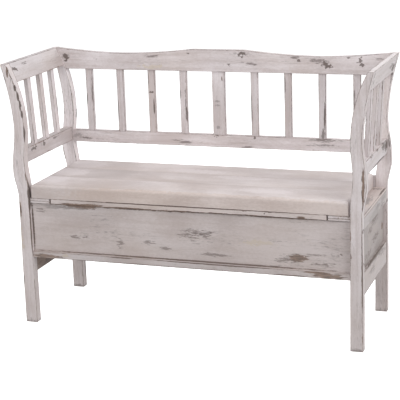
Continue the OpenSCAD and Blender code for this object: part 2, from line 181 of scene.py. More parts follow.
class Wood(Shader):
    """Shader of one board, whose noises run along its grain."""

    SHIFT = 9       # how far, in metres, a board's texture may be moved

    def __init__(self, node):
        super().__init__(node)
        self.node = node
        self.seed = random.Random(node)
        self.xyz = self.split(self.place)
        along = long_axis(node)
        across = [axis for axis in (X, Y, Z) if axis != along]
        turned = self.join([self.xyz[axis] for axis in [along] + across])
        self.grain = self.vector("ADD", turned, self.shift())

    def shift(self):
        """Move that gives each board its own piece of a texture."""
        return tuple(self.seed.uniform(-self.SHIFT, self.SHIFT) for _ in range(3))

    def squeezed(self, along, across):
        return self.vector("MULTIPLY", self.grain, (along, across, across))

    def grained(self, along, across, detail=3, roughness=0.55, distortion=0.0):
        """Noise with so many cells to the metre along the grain and across it."""
        return self.noise(self.squeezed(along, across), 1.0, detail, roughness, distortion)


class WashedWood(Wood):
    """Board under a thin wash, with the noises that the layers of its finish share."""

    def __init__(self, node):
        super().__init__(node)
        self.fibres = self.grained(9, 330, 4, 0.6)
        self.streaks = self.grained(4.5, 62, 3, 0.6, 0.4)
        self.clouds = self.grained(4.0, 7, 3, 0.55, 0.3)
        self.speckle = self.grained(90, 210, 3, 0.7)
        self.blots = self.grained(90, 130, 3, 0.6)
        self.flecks = self.grained(38, 260, 4, 0.7)


# ---------- outlines read from the part ----------
def long_axis(node):
    low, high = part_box(node)
    size = high - low
    return max((X, Y, Z), key=lambda axis: size[axis])


def levels(node, key_axis, value_axis):
    """Vertices on the front face of a node: (place along key_axis, places along value_axis)."""
    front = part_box(node)[0].y
    found = {}
    for vertex in NODES[node].data.vertices:
        if abs(vertex.co.y - front) < 0.1 * MM:
            found.setdefault(round(vertex.co[key_axis], 5), []).append(vertex.co[value_axis])
    return [(key, found[key]) for key in sorted(found)]


def post_faces():
    """(height, x) lines of the inner and the outer face of a right-hand post."""
    apart = 5 * MM      # a level this wide has a vertex on each face
    inner, outer = [], []
    for z, places in levels("post_front_right", Z, X):
        first, last = min(places), max(places)
        if last - first > apart or not inner:
            inner.append((z, first))
            outer.append((z, last))
        elif abs(first - inner[-1][1]) < abs(first - outer[-1][1]):
            inner.append((z, first))
        else:
            outer.append((z, first))
    return inner, outer


def crest_line():
    """(x, height) line of the crest's wavy top edge."""
    # the wave is under 20 mm deep, so lower vertices belong to the slanted ends
    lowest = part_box("crest_rail")[1].z - 20 * MM
    return [(x, max(heights)) for x, heights in levels("crest_rail", X, Z) if max(heights) > lowest]


POST_INNER, POST_OUTER = post_faces()
CREST_TOP = crest_line()


# ---------- distance to the nearest edge of a board ----------
def gap_in_box(s, axis):
    """Distance from the nearer of the two faces of the board's box across one axis."""
    low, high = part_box(s.node)
    near = s.math("SUBTRACT", s.xyz[axis], low[axis])
    far = s.math("SUBTRACT", high[axis], s.xyz[axis])
    return s.math("MINIMUM", near, far)


def gap_in_curve(s):
    """Distance from the nearer curved side face, which posts and arm top rails share."""
    low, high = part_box(s.node)
    side = 1 if low.x + high.x > 0 else -1
    outwards = s.math("MULTIPLY", s.xyz[X], side)
    to_outer = s.math("SUBTRACT", s.follow(s.xyz[Z], POST_OUTER), outwards)
    to_inner = s.math("SUBTRACT", outwards, s.follow(s.xyz[Z], POST_INNER))
    return s.math("MINIMUM", to_outer, to_inner)


def gap_in_slat(s):
    """Distance from the nearer side face of a leaning slat."""
    low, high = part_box(s.node)
    ends = {}
    for vertex in NODES[s.node].data.vertices:
        at_head = vertex.co.z > (low.z + high.z) / 2
        ends.setdefault(at_head, []).append(vertex.co)
    foot, head = (sum(ends[at_head], Vector()) / len(ends[at_head]) for at_head in (False, True))
    lean = (head.x - foot.x) / (head.z - foot.z)
    half_width = (high.x - low.x - abs(lean) * (head.z - foot.z)) / 2
    offset = s.math("MULTIPLY", s.math("SUBTRACT", s.xyz[Z], foot.z), lean)
    aside = s.math("ABSOLUTE", s.math("SUBTRACT", s.math("SUBTRACT", s.xyz[X], foot.x), offset))
    return s.math("SUBTRACT", half_width, aside)


def gap_in_crest(s):
    """Distance from the crest's wavy top or its straight lower face."""
    to_top = s.math("SUBTRACT", s.follow(s.xyz[X], CREST_TOP), s.xyz[Z])
    to_bottom = s.math("SUBTRACT", s.xyz[Z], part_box(s.node)[0].z)
    return s.math("MINIMUM", to_top, to_bottom)


def edge_distance(s):
    """Distance from the nearest edge of the board."""
    gaps = [gap_in_box(s, axis) for axis in (X, Y, Z)]
    if s.node.startswith(("post_", "arm_top_rail")):
        gaps[X] = gap_in_curve(s)
    elif s.node.startswith("arm_slat"):
        gaps[X] = gap_in_slat(s)
    elif s.node == "crest_rail":
        gaps[Z] = gap_in_crest(s)
    # an edge is as near as the second smallest of the three gaps
    smaller = s.math("MINIMUM", gaps[X], gaps[Y])
    larger = s.math("MAXIMUM", gaps[X], gaps[Y])
    return s.math("MAXIMUM", smaller, s.math("MINIMUM", larger, gaps[Z]))


# ---------- marks in the finish, and painted light and shade ---
# strength: how much of the colour shows; fill: how solid the middle is; breaking: how much the
# noise breaks it up; grained: drawn out along the grain; depth: how far it dents the surface.
# A warm mark multiplies the colour under it, so that the grain still shows.
Kind = namedtuple("Kind", "colour strength fill breaking grained depth")
KINDS = {
    "knot": Kind(DARK_WOOD_AND_SEAM_SHADOW, 0.78, 1.10, 2.6, False, 0.3),
    "halo": Kind(SCUFF_AND_SHADOW_GREY, 0.50, 0.80, 1.6, False, 0.0),
    # shade marks are painted shadow
    "shade": Kind(SCUFF_AND_SHADOW_GREY, 0.16, 1.00, 0.3, False, 0.0),
    "scuff": Kind(SCUFF_DARK, 0.70, 0.80, 3.8, True, 0.2),
    "smear": Kind(SCUFF_AND_SHADOW_GREY, 0.80, 0.85, 2.4, True, 0.1),
    # chip marks are wash worn through to the wood, and those along the front panel's top edge are
    # also painted shadow in the gap under the batten
    "chip_and_gap_shadow": Kind(BARE_WOOD_AND_GAP_SHADOW, 0.92, 1.15, 2.6, True, 1.0),
    # crack marks are cracks in the wood, and long thin ones along an edge where boards meet are
    # painted shadow in the seam
    "crack_and_seam_shadow": Kind(DARK_WOOD_AND_SEAM_SHADOW, 0.88, 1.25, 1.8, True, 0.8),
    "stain": Kind(STAIN_TAN, 0.60, 0.90, 1.2, False, 0.0),
    "warm": Kind(BEIGE, 1.00, 1.30, 0.5, False, 0.0),
    # pale marks are painted light: a pool of light and streaks of sheen on the lid
    "pale": Kind(PAINTED_LIGHT_WHITE, 0.34, 0.80, 0.8, False, 0.0),
    "hole": Kind(DARK_WOOD_AND_SEAM_SHADOW, 0.95, 1.60, 0.2, False, 0.5),
}

# node: (kind, place as a share of the node's box, reach along X, Y and Z in millimetres)
MARKS = {
    "crest_rail": [
        ("halo", (0.030, 0, 0.57), (28, 9, 22)), ("knot", (0.030, 0, 0.55), (13, 8, 14)),
        ("scuff", (0.300, 0, 0.66), (38, 6, 7)), ("stain", (0.300, 0, 0.17), (75, 8, 12)),
        ("halo", (0.125, 0, 0.47), (16, 6, 8)), ("knot", (0.412, 0, 0.82), (8, 5, 5)),
        ("halo", (0.575, 0, 0.82), (52, 8, 13)), ("knot", (0.577, 0, 0.80), (22, 6, 8)),
        ("halo", (0.532, 0, 0.36), (17, 6, 12)), ("knot", (0.532, 0, 0.34), (9, 6, 9)),
        ("scuff", (0.600, 0, 0.40), (32, 6, 6)),
        ("knot", (0.739, 0, 0.63), (13, 6, 12)), ("scuff", (0.728, 0, 0.72), (22, 6, 7)),
        ("halo", (0.817, 0, 0.40), (30, 8, 20)), ("knot", (0.817, 0, 0.38), (22, 8, 14)),
        ("knot", (0.881, 0, 0.76), (8, 5, 6)), ("knot", (0.909, 0, 0.62), (12, 6, 12)),
        ("knot", (0.916, 0, 0.42), (13, 6, 5)), ("scuff", (0.965, 0, 0.72), (20, 6, 5)),
        ("scuff", (0.790, 0, 0.60), (40, 6, 10)),
    ],
    "back_lower_rail": [
        ("halo", (0.022, 0, 0.55), (26, 8, 16)), ("scuff", (0.053, 0, 0.29), (28, 6, 8)),
        ("scuff", (0.390, 0, 0.30), (50, 6, 9)), ("knot", (0.489, 0, 0.90), (9, 6, 5)),
        ("knot", (0.615, 0, 0.84), (8, 6, 5)), ("scuff", (0.829, 0, 0.86), (52, 6, 9)),
        ("scuff", (0.582, 0, 0.10), (28, 6, 5)), ("scuff", (0.844, 0, 0.46), (60, 6, 6)),
    ],
    "post_front_left": [
        ("chip_and_gap_shadow", (0.340, 0, 0.975), (5, 10, 26)), ("crack_and_seam_shadow", (0.670, 0, 0.915), (5, 9, 14)),
        ("crack_and_seam_shadow", (0.790, 0, 0.885), (5, 9, 24)), ("crack_and_seam_shadow", (0.865, 0, 0.850), (4, 9, 24)),
        ("crack_and_seam_shadow", (0.930, 0, 0.815), (4, 8, 18)), ("crack_and_seam_shadow", (0.980, 0, 0.740), (4, 9, 34)),
        ("crack_and_seam_shadow", (0.46, 0, 0.175), (3, 6, 22)), ("chip_and_gap_shadow", (0.54, 0, 0.45), (4, 6, 40)),
        ("stain", (0.50, 0, 0.33), (9, 6, 60)), ("crack_and_seam_shadow", (0.98, 0.2, 0.50), (4, 12, 60)),
        ("crack_and_seam_shadow", (1.0, 0, 0.38), (3.5, 6, 130)),
    ],
    "post_front_right": [
        ("crack_and_seam_shadow", (0.55, 0, 0.35), (5.5, 8, 240)), ("chip_and_gap_shadow", (0.56, 0, 0.60), (5, 6, 85)),
        ("hole", (0.51, 0.50, 0.442), (7, 5, 5)), ("hole", (0.51, 0.50, 0.317), (7, 5, 5)),
    ],
    "post_rear_right": [
        ("hole", (0.51, 0.35, 0.442), (7, 5, 5)), ("hole", (0.51, 0.35, 0.317), (7, 5, 5)),
        ("scuff", (0.92, 0.4, 0.955), (16, 24, 30)), ("scuff", (0.64, 0.3, 0.67), (16, 26, 28)),
        ("crack_and_seam_shadow", (0.78, 1.0, 0.90), (9, 7, 60)),
    ],
    "post_rear_left": [
        ("knot", (0.99, 0.90, 0.73), (6, 7, 17)), ("crack_and_seam_shadow", (0.98, 0.85, 0.10), (8, 5, 80)),
        ("chip_and_gap_shadow", (0.90, 0.30, 0.16), (7, 8, 70)),
    ],
    "arm_top_rail_left": [
        ("halo", (0.65, 0.045, 0.62), (14, 30, 13)), ("knot", (0.65, 0.045, 0.62), (12, 20, 9)),
        ("scuff", (0.5, 0.26, 0.8), (12, 24, 6)),
    ],
    "arm_top_rail_right": [
        ("knot", (0.91, 0.02, 0.75), (10, 10, 8)), ("scuff", (0.85, 0.06, 0.35), (12, 10, 8)),
        ("scuff", (0.85, 0.82, 0.50), (14, 44, 14)), ("crack_and_seam_shadow", (0.78, 0.92, 0.30), (16, 30, 15)),
    ],
    "arm_lower_rail_left": [
        ("knot", (1.0, 0.146, 0.80), (8, 26, 10)), ("knot", (1.0, 0.349, 0.78), (8, 20, 10)),
        ("scuff", (1.0, 0.633, 0.85), (6, 30, 5)),
    ],
    "arm_lower_rail_right": [
        ("knot", (1.0, 0.30, 0.88), (8, 22, 8)), ("knot", (1.0, 0.55, 0.92), (8, 18, 7)),
        ("scuff", (1.0, 0.86, 0.70), (8, 55, 20)), ("knot", (1.0, 0.92, 0.50), (8, 16, 14)),
        ("knot", (1.0, 0.80, 0.80), (9, 22, 9)), ("crack_and_seam_shadow", (1.0, 0.95, 0.65), (9, 24, 17)),
        ("crack_and_seam_shadow", (1.0, 0.60, 0.04), (8, 120, 4)),
    ],
    "front_panel": [
        ("scuff", (0.033, 0, 0.84), (30, 6, 9)), ("chip_and_gap_shadow", (0.166, 0, 0.975), (78, 6, 11)),
        ("scuff", (0.130, 0, 0.95), (60, 6, 9)),
        ("smear", (0.10, 0, 0.93), (110, 6, 9)),
        ("scuff", (0.150, 0, 0.34), (30, 6, 8)), ("scuff", (0.290, 0, 0.28), (15, 6, 18)),
        ("scuff", (0.434, 0, 0.24), (30, 6, 10)), ("scuff", (0.385, 0, 0.33), (26, 6, 8)),
        ("scuff", (0.524, 0, 0.61), (42, 6, 9)), ("scuff", (0.515, 0, 0.53), (42, 6, 16)),
        ("scuff", (0.562, 0, 0.56), (25, 6, 18)), ("scuff", (0.585, 0, 0.17), (60, 6, 7)),
        ("halo", (0.835, 0, 0.21), (70, 6, 19)), ("chip_and_gap_shadow", (0.845, 0, 0.22), (40, 6, 15)),
        ("scuff", (0.799, 0, 0.17), (45, 6, 9)), ("knot", (0.969, 0, 0.33), (10, 6, 8)),
        ("halo", (0.960, 0, 0.32), (34, 6, 12)), ("scuff", (0.925, 0, 0.13), (40, 6, 7)),
        ("stain", (0.72, 0, 0.47), (85, 6, 14)), ("scuff", (0.90, 0, 0.30), (45, 6, 6)),
        # the crack marks on the left edge and along the bottom edge are painted shadow where the
        # panel meets the post and the rail
        ("crack_and_seam_shadow", (0.003, 0, 0.5), (4, 6, 90)),
        # the chips along the top edge are a worn brown edge and painted shadow of the gap under the
        # batten
        ("crack_and_seam_shadow", (0.5, 0, 0.02), (600, 6, 3)), ("chip_and_gap_shadow", (0.30, 0, 1.0), (420, 6, 6)),
        ("chip_and_gap_shadow", (0.80, 0, 1.0), (240, 6, 5)),
    ],
    "front_bottom_rail": [
        # the long crack marks along the top and the bottom edge are painted shadow lines
        ("chip_and_gap_shadow", (0.045, 0, 0.35), (62, 6, 8)), ("stain", (0.111, 0, 0.45), (22, 6, 10)),
        ("crack_and_seam_shadow", (0.295, 0, 0.95), (50, 5, 3)), ("crack_and_seam_shadow", (0.339, 0, 0.05), (45, 5, 3)),
        ("chip_and_gap_shadow", (0.934, 0, 0.43), (60, 6, 11)), ("crack_and_seam_shadow", (0.895, 0, 0.92), (45, 5, 2.5)),
        ("crack_and_seam_shadow", (0.820, 0, 0.05), (90, 5, 4)), ("crack_and_seam_shadow", (0.60, 0, 0.95), (260, 5, 3)),
        ("crack_and_seam_shadow", (0.40, 0, 0.0), (450, 5, 3)), ("chip_and_gap_shadow", (0.90, 0, 0.85), (60, 5, 4)),
    ],
    "lid_front_batten": [
        # the long crack marks along the top and the bottom edge are painted shadow in the seams
        # under the lid and over the panel
        ("chip_and_gap_shadow", (0.085, 0, 0.0), (60, 6, 8)), ("chip_and_gap_shadow", (0.150, 0, 0.05), (55, 6, 8)),
        ("chip_and_gap_shadow", (0.300, 0, 0.0), (90, 6, 4)), ("chip_and_gap_shadow", (0.491, 0, 0.0), (90, 6, 4)),
        ("chip_and_gap_shadow", (0.620, 0, 0.0), (90, 6, 4)), ("knot", (0.791, 0, 0.65), (4, 5, 3)),
        ("chip_and_gap_shadow", (0.914, 0, 0.25), (16, 6, 6)), ("crack_and_seam_shadow", (0.40, 0, 1.0), (420, 5, 2.6)),
        ("warm", (0.5, 0, 0.5), (1400, 14, 60)), ("chip_and_gap_shadow", (0.74, 0, 0.0), (150, 6, 4)),
        ("crack_and_seam_shadow", (0.75, 0, 0.0), (300, 5, 2.6)),
    ],
    # the pale marks on the lid planks are painted light: a pool of light at the left end and
    # brighter streaks of sheen
    "lid_plank_front": [
        # the long crack along the bottom edge is painted shadow in the seam over the batten
        ("warm", (0.60, 0, 0.30), (640, 14, 60)), ("crack_and_seam_shadow", (0.55, 0, 0.0), (560, 5, 2.4)),
        ("pale", (0.03, 0.7, 1), (110, 80, 20)), ("pale", (0.74, 0.6, 1), (150, 50, 20)),
    ],
    "lid_plank_middle": [
        # the shade mark is the painted shadow of the left arm on the seat
        ("pale", (0.04, 0.5, 1), (130, 90, 20)), ("shade", (0.19, 0.6, 1), (120, 150, 20)),
        ("pale", (0.62, 0.8, 1), (170, 40, 20)),
    ],
    "lid_plank_rear": [
        ("pale", (0.06, 0.5, 1), (130, 90, 20)), ("pale", (0.45, 0.3, 1), (170, 40, 20)),
    ],
    "side_panel_right": [
        ("smear", (1, 0.20, 0.50), (6, 70, 110)), ("smear", (1, 0.60, 0.80), (6, 90, 26)),
        ("scuff", (1, 0.55, 0.83), (6, 60, 14)), ("scuff", (1, 0.40, 0.70), (6, 40, 16)),
        ("chip_and_gap_shadow", (1, 0.90, 0.45), (6, 16, 16)), ("scuff", (1, 0.62, 0.40), (6, 70, 18)),
        ("scuff", (1, 0.30, 0.22), (6, 60, 16)), ("smear", (1, 0.70, 0.15), (6, 90, 26)),
    ],
    "side_bottom_rail_right": [
        ("smear", (0.9, 0.60, 1.0), (30, 150, 22)), ("scuff", (0.9, 0.25, 1.0), (30, 70, 9)),
        ("crack_and_seam_shadow", (1, 0.50, 1.0), (9, 170, 8)),
        ("scuff", (0.9, 0.70, 0.95), (30, 80, 9)),
        ("scuff", (1, 0.80, 0.80), (6, 70, 16)), ("scuff", (1, 0.35, 0.62), (6, 60, 14)),
        ("crack_and_seam_shadow", (1, 0.5, 0.0), (6, 120, 4)),
    ],
    "side_top_rail_right": [
        ("scuff", (1, 0.58, 0.55), (6, 50, 12)), ("scuff", (1, 0.80, 0.25), (6, 40, 10)),
        ("smear", (1, 0.45, 0.30), (6, 130, 18)), ("smear", (1, 0.85, 0.70), (6, 60, 14)),
    ],
    "side_bottom_rail_left": [
        ("chip_and_gap_shadow", (1, 0.18, 0.45), (9, 150, 60)), ("crack_and_seam_shadow", (1, 0.30, 0.20), (9, 60, 16)),
    ],
    "deck_board_right": [
        ("crack_and_seam_shadow", (0.97, 0.85, 1), (4, 60, 4)), ("scuff", (0.75, 0.93, 1), (26, 14, 6)),
        ("warm", (0.6, 0.7, 1), (90, 200, 20)), ("smear", (0.7, 0.5, 1), (30, 90, 6)),
    ],
    "back_slat_1": [("crack_and_seam_shadow", (0.05, 0, 0.51), (3, 6, 24)), ("scuff", (0.95, 0, 0.6), (5, 6, 80))],
    "back_slat_2": [("crack_and_seam_shadow", (0.03, 0, 0.34), (3, 6, 60))],
    "back_slat_3": [
        ("knot", (0.42, 0, 0.64), (13, 6, 6)), ("scuff", (0.1, 0, 0.80), (4, 6, 35)),
        ("crack_and_seam_shadow", (0.80, 0, 0.42), (3, 6, 35)),
    ],
    "back_slat_4": [
        ("crack_and_seam_shadow", (0.05, 0, 0.62), (3, 6, 18)), ("crack_and_seam_shadow", (0.92, 0, 0.34), (3, 6, 36)),
        ("scuff", (0.8, 0, 0.5), (4, 6, 60)),
    ],
    "back_slat_centre": [
        ("smear", (0.33, 0, 0.53), (15, 6, 5)), ("smear", (0.40, 0, 0.47), (14, 6, 5)),
        ("chip_and_gap_shadow", (0.80, 0, 0.86), (3, 5, 9)), ("smear", (0.4, 0, 0.15), (12, 6, 8)),
    ],
    "back_slat_6": [("crack_and_seam_shadow", (0.04, 0, 0.40), (3.4, 6, 62))],
    "back_slat_7": [("scuff", (0.05, 0, 0.80), (4, 6, 50))],
    "back_slat_8": [("crack_and_seam_shadow", (0.85, 0, 0.35), (3.4, 6, 50)), ("scuff", (0.6, 0, 0.1), (9, 6, 20))],
    "back_slat_9": [("scuff", (0.1, 0, 0.6), (6, 6, 50))],
    "arm_slat_left_2": [("knot", (0.9, 0.9, 0.90), (5, 6, 16))],
    "arm_slat_left_3": [("crack_and_seam_shadow", (0.7, 0.9, 0.40), (5, 4, 60))],
}

# marks for the faces that the photo doesn't show: kind, reach along and across the board in mm
SCATTERED = (("scuff", 38, 9), ("scuff", 55, 13), ("knot", 12, 9), ("crack_and_seam_shadow", 34, 3.5),
             ("smear", 60, 14))
SCATTER_SPACING = 140 * MM
SCATTER_DEPTH = 7       # reach into the board, in mm too

WOBBLE_SCALE = 70
WOBBLE_REACH = 26 * MM

# start and end of three smooth steps: a mark thickens from its outline to its middle, shows where
# that and the noise add up to enough, and never shows beyond the last one
MARK_BODY = (1.35, 0.15)
MARK_SHOWN = (0.40, 0.72)
MARK_LIMIT = (1.5, 1.1)


def scattered_marks(node):
    """Seeded marks, in the form of MARKS, on the rear or the left face of a board."""
    seed = random.Random(node + " marks")
    low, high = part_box(node)
    along = long_axis(node)
    on_rear = along == X or (along == Z and low.y > 0)
    face = Y if on_rear else X
    found = []
    for _ in range(int((high - low)[along] / SCATTER_SPACING)):
        kind, length, width = seed.choice(SCATTERED)
        share = [seed.uniform(0.1, 0.9) for _ in range(3)]
        share[face] = 1 if on_rear else 0
        reach = [width, width, width]
        reach[along] = length
        reach[face] = SCATTER_DEPTH
        found.append((kind, tuple(share), tuple(reach)))
    return found


def wobbled_place(s):
    """Places pushed about by a noise, so that knots and stains aren't plain ovals."""
    noise = s.noise(s.place, WOBBLE_SCALE, 2, 0.5, coloured=True)
    drift = s.vector("SUBTRACT", noise, (0.5, 0.5, 0.5))
    return s.vector("ADD", s.place, s.vector("MULTIPLY", drift, (WOBBLE_REACH,) * 3))


def mark_mask(s, kind, place, centre, reach):
    """1 inside a mark and 0 outside, soft around its outline and broken up by a noise."""
    away = s.vector("SUBTRACT", place, tuple(centre))
    share = s.vector("LENGTH", s.vector("MULTIPLY", away, tuple(1 / r for r in reach)))
    body = s.step(share, *MARK_BODY, 0.0, kind.fill)
    noise = s.flecks if kind.grained else s.blots
    value = s.math("MULTIPLY_ADD", s.math("SUBTRACT", noise, 0.5), kind.breaking, body)
    return s.math("MULTIPLY", s.step(value, *MARK_SHOWN), s.step(share, *MARK_LIMIT))


def add_marks(s, colour, height):
    """Colour and height with the board's listed marks, among them painted light and shade, and
    scattered ones unless it is the lid.
    """
    low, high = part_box(s.node)
    wobbled = wobbled_place(s)
    marks = list(MARKS.get(s.node, []))
    if SLOT_OF[s.node] != "lid_wood":
        marks += scattered_marks(s.node)
    for name, share, reach in marks:
        kind = KINDS[name]
        centre = [low[axis] + (high - low)[axis] * share[axis] for axis in (X, Y, Z)]
        place = s.place if kind.grained else wobbled
        mask = mark_mask(s, kind, place, centre, [r * MM for r in reach])
        tint = kind.colour
        if name == "chip_and_gap_shadow":
            tint = s.mix(s.step(s.flecks, 0.50, 0.60), tint, DARK_WOOD_AND_SEAM_SHADOW)
        blend = "MULTIPLY" if name == "warm" else "MIX"
        colour = s.mix(s.math("MULTIPLY", mask, kind.strength), colour, tint, blend)
        if kind.depth:
            height = s.math("SUBTRACT", height, s.math("MULTIPLY", mask, kind.depth))
    return colour, height


# ---------- layers of the washed finish ----------
LOG_ASIDE = (-9, -8)            # where the middle of a log may lie, in metres
EDGE_LINE = (1.9 * MM, 0.5 * MM)        # the dark line starts, and is full, so near an edge
EDGE_RAGGED = 5 * MM
CHIPPED_WIDTH = 5.5 * MM
CHIPPED_BLUR = 0.6 * MM
LOW_DARKENING = (520 * MM, 80 * MM)      # darkening starts, and is full, at these heights
FOOT_SCUFF = (32 * MM, 18 * MM)
FOOT_RAGGED = 40 * MM


def wash_cover(s, streaky):
    """How thick the wash lies, from 0 to 1: thick where clouds and streaks agree."""
    streaks = 0.55 * streaky
    speckle = 0.45
    cover = s.math("MULTIPLY_ADD", s.streaks, streaks, s.clouds)
    cover = s.math("MULTIPLY_ADD", s.speckle, speckle, cover)
    middle = 0.5 * (1 + speckle + streaks)      # each noise has a mean of a half
    return s.step(cover, middle - 0.25, middle + 0.25)


def growth_rings(s):
    """Ring lines of a log whose middle lies beside the board."""
    log = s.vector("ADD", s.squeezed(0.22, 1), (0, s.seed.uniform(*LOG_ASIDE), 0))
    wave = s.add("ShaderNodeTexWave", wave_type="RINGS", rings_direction="X", wave_profile="SAW")
    s.fill(wave.inputs["Vector"], log)
    wave.inputs["Scale"].default_value = 24
    wave.inputs["Distortion"].default_value = 7
    wave.inputs["Detail"].default_value = 2
    wave.inputs["Detail Scale"].default_value = 0.9
    return s.step(wave.outputs[1], 0.55, 1.0)


def wash_colour(s, cover, tint, rings):
    """Pale and thin wash with growth rings, fibre lines, and a warm and cool drift."""
    pale = tuple(c * t for c, t in zip(WASH_PALE, tint)) + (1,)
    thin = tuple(c * t for c, t in zip(WASH_THIN, tint)) + (1,)
    colour = s.mix(cover, thin, pale)
    shown = s.math("MULTIPLY_ADD", cover, -0.16 * rings, 0.26 * rings)
    colour = s.mix(s.math("MULTIPLY", growth_rings(s), shown), colour, RING_LINE)
    fibre_lines = s.math("MULTIPLY", s.step(s.fibres, 0.46, 0.30), 0.38)
    colour = s.mix(fibre_lines, colour, thin)
    drift = s.grained(3, 6, 2, 0.5)
    colour = s.mix(s.step(drift, 0.45, 0.75, 0, 0.22), colour, WASH_WARM)
    return s.mix(s.step(drift, 0.50, 0.22, 0, 0.22), colour, WASH_COOL)


def rubbed_patches(s):
    """Small rubbed patches where the grey undercoat shows."""
    where = s.grained(5, 16, 2, 0.5)
    return s.math("MULTIPLY", s.step(s.flecks, 0.52, 0.64), s.step(where, 0.50, 0.66))


def bare_edges(s, wear):
    """Edges rubbed bare: a thin line everywhere and wider broken stretches here and there."""
    distance = edge_distance(s)
    uneven = s.noise(s.vector("ADD", s.place, s.shift()), 14, 3, 0.6)
    ragged = s.math("MULTIPLY", s.math("SUBTRACT", s.speckle, 0.5), EDGE_RAGGED)
    line = s.step(s.math("SUBTRACT", distance, ragged), *EDGE_LINE)
    shown = s.step(uneven, 0.36, 0.56, 0.34 * wear, 0.90 * min(1, 1.2 * wear))
    line = s.math("MULTIPLY", line, shown)
    width = s.step(uneven, 0.52, 0.72, 0.0, CHIPPED_WIDTH * wear)
    width = s.math("MULTIPLY", width, s.step(s.flecks, 0.42, 0.62))
    chipped = s.step(s.math("SUBTRACT", distance, width), CHIPPED_BLUR, -CHIPPED_BLUR)
    return s.math("MAXIMUM", line, s.math("MULTIPLY", chipped, 0.85))


def surface_height(s, cover, bare, rubbed):
    """Relief of the fibres and the wash, lower where the wash has worn away."""
    height = s.math("ADD", s.math("MULTIPLY", s.fibres, 0.55), s.math("MULTIPLY", cover, 0.25))
    height = s.math("SUBTRACT", height, s.math("MULTIPLY", bare, 0.5))
    return s.math("SUBTRACT", height, s.math("MULTIPLY", rubbed, 0.3))


def darken_low_and_scuff_feet(s, colour):
    """Colour that gets darker towards the floor, and scuffed at the foot."""
    colour = s.mix(s.step(s.xyz[Z], *LOW_DARKENING, 0.0, 0.30), colour, RING_LINE)
    ragged = s.math("MULTIPLY_ADD", s.blots, FOOT_RAGGED, s.xyz[Z])
    return s.mix(s.step(ragged, *FOOT_SCUFF, 0.0, 0.65), colour, SCUFF_DARK)


# ---------- materials ----------
def washed_wood(node, tone=1.0, tint=(1, 1, 1), wear=1.0, scuffs=1.0, rings=1.0, bump=1.0,
                streaky=1.0):
    """Whitewashed softwood, rubbed through along the edges of the board."""
    s = WashedWood(node)
    cover = wash_cover(s, streaky)
    colour = wash_colour(s, cover, [tone * t for t in tint], rings)
    rubbed = rubbed_patches(s)
    colour = s.mix(s.math("MULTIPLY", rubbed, 0.60 * scuffs), colour, SCUFF_AND_SHADOW_GREY)
    bare = bare_edges(s, wear)
    bare_colour = s.mix(s.step(s.streaks, 0.38, 0.62), DARK_WOOD_AND_SEAM_SHADOW, BARE_WOOD_AND_GAP_SHADOW)
    colour = s.mix(bare, colour, bare_colour)
    colour, height = add_marks(s, colour, surface_height(s, cover, bare, rubbed))
    colour = darken_low_and_scuff_feet(s, colour)
    roughness = s.step(cover, 0.0, 1.0, 0.50, 0.68)
    s.surface.inputs["Specular IOR Level"].default_value = 0.35
    return s.complete(colour, roughness, height, 0.45 * bump, 0.7 * MM)


def bare_wood(node, light):
    """Unfinished wood of the hidden boards and dowels."""
    s = Wood(node)
    fibres = s.grained(6, 300, 4, 0.6)
    streaks = s.grained(1.5, 40, 3, 0.6, 0.3)
    dark = tuple(c * 0.68 for c in light[:3]) + (1,)
    colour = s.mix(s.step(streaks, 0.35, 0.65), dark, light)
    colour = s.mix(s.step(fibres, 0.50, 0.32, 0, 0.4), colour, dark)
    roughness = s.step(fibres, 0.3, 0.7, 0.78, 0.62)
    return s.complete(colour, roughness, fibres, 0.4, 0.5 * MM)


def dull_steel(node):
    """Zinc-plated hardware with fine brushing and darker handling marks."""
    s = Shader(node)
    brushed = s.noise(s.vector("MULTIPLY", s.place, (60, 900, 900)), 1.0, 3, 0.6)
    blotches = s.noise(s.place, 160, 4, 0.6)
    colour = s.mix(s.step(blotches, 0.35, 0.70), ZINC_DULL, ZINC)
    roughness = s.step(brushed, 0.3, 0.7, 0.32, 0.55)
    s.surface.inputs["Metallic"].default_value = 1.0
    return s.complete(colour, roughness, brushed, 0.25, 0.1 * MM)


# boards that are whiter or greyer than the rest, partly in their own tone and partly as painted
# light and shade: the posts that catch the most light are made whiter
TONES_AND_PAINTED_LIGHT = {
    "crest_rail": 1.05, "back_lower_rail": 1.13, "arm_top_rail_left": 0.93,
    "post_front_left": 1.12, "post_front_right": 1.04,
    "post_rear_left": 1.30, "post_rear_right": 1.16,
    "arm_slat_left_1": 1.20, "arm_slat_left_2": 1.20, "arm_slat_left_3": 1.20,
    "side_top_rail_left": 0.74, "side_top_rail_right": 0.74,
    "side_bottom_rail_left": 0.88, "side_bottom_rail_right": 0.88,
    "front_bottom_rail": 0.90, "lid_front_batten": 0.94,
}
COMMON_TONES = (0.98, 1.05)


def wear_of(node):
    """How worn the edges of a frame board are, where 1 is the common wear."""
    if node.startswith("post_"):
        return 1.3
    if node.startswith("arm_slat_left"):
        return 0.6
    return 0.7 if node == "crest_rail" else 1.0


def frame_wood(node):
    tone = TONES_AND_PAINTED_LIGHT.get(node, random.Random(node + " tone").uniform(*COMMON_TONES))
    return washed_wood(node, tone=tone, wear=wear_of(node))


def panel_wood(node):
    # the side panels are darker than the front panel, partly in their own tone and partly as painted
    # shade where they sit recessed and low
    tone = 0.61 if node.startswith("side_") else 0.91
    return washed_wood(node, tone=tone, tint=(1.0, 0.975, 0.95), scuffs=1.3, streaky=0.5)


def lid_wood(node):
    return washed_wood(node, tone=0.98, tint=(1.0, 0.985, 0.965), wear=0.2, scuffs=0.25,
                       rings=0.5, bump=0.5, streaky=0.4)


def raw_wood(node):
    return bare_wood(node, RAW_WOOD)


def dowel_wood(node):
    return bare_wood(node, DOWEL_WOOD)


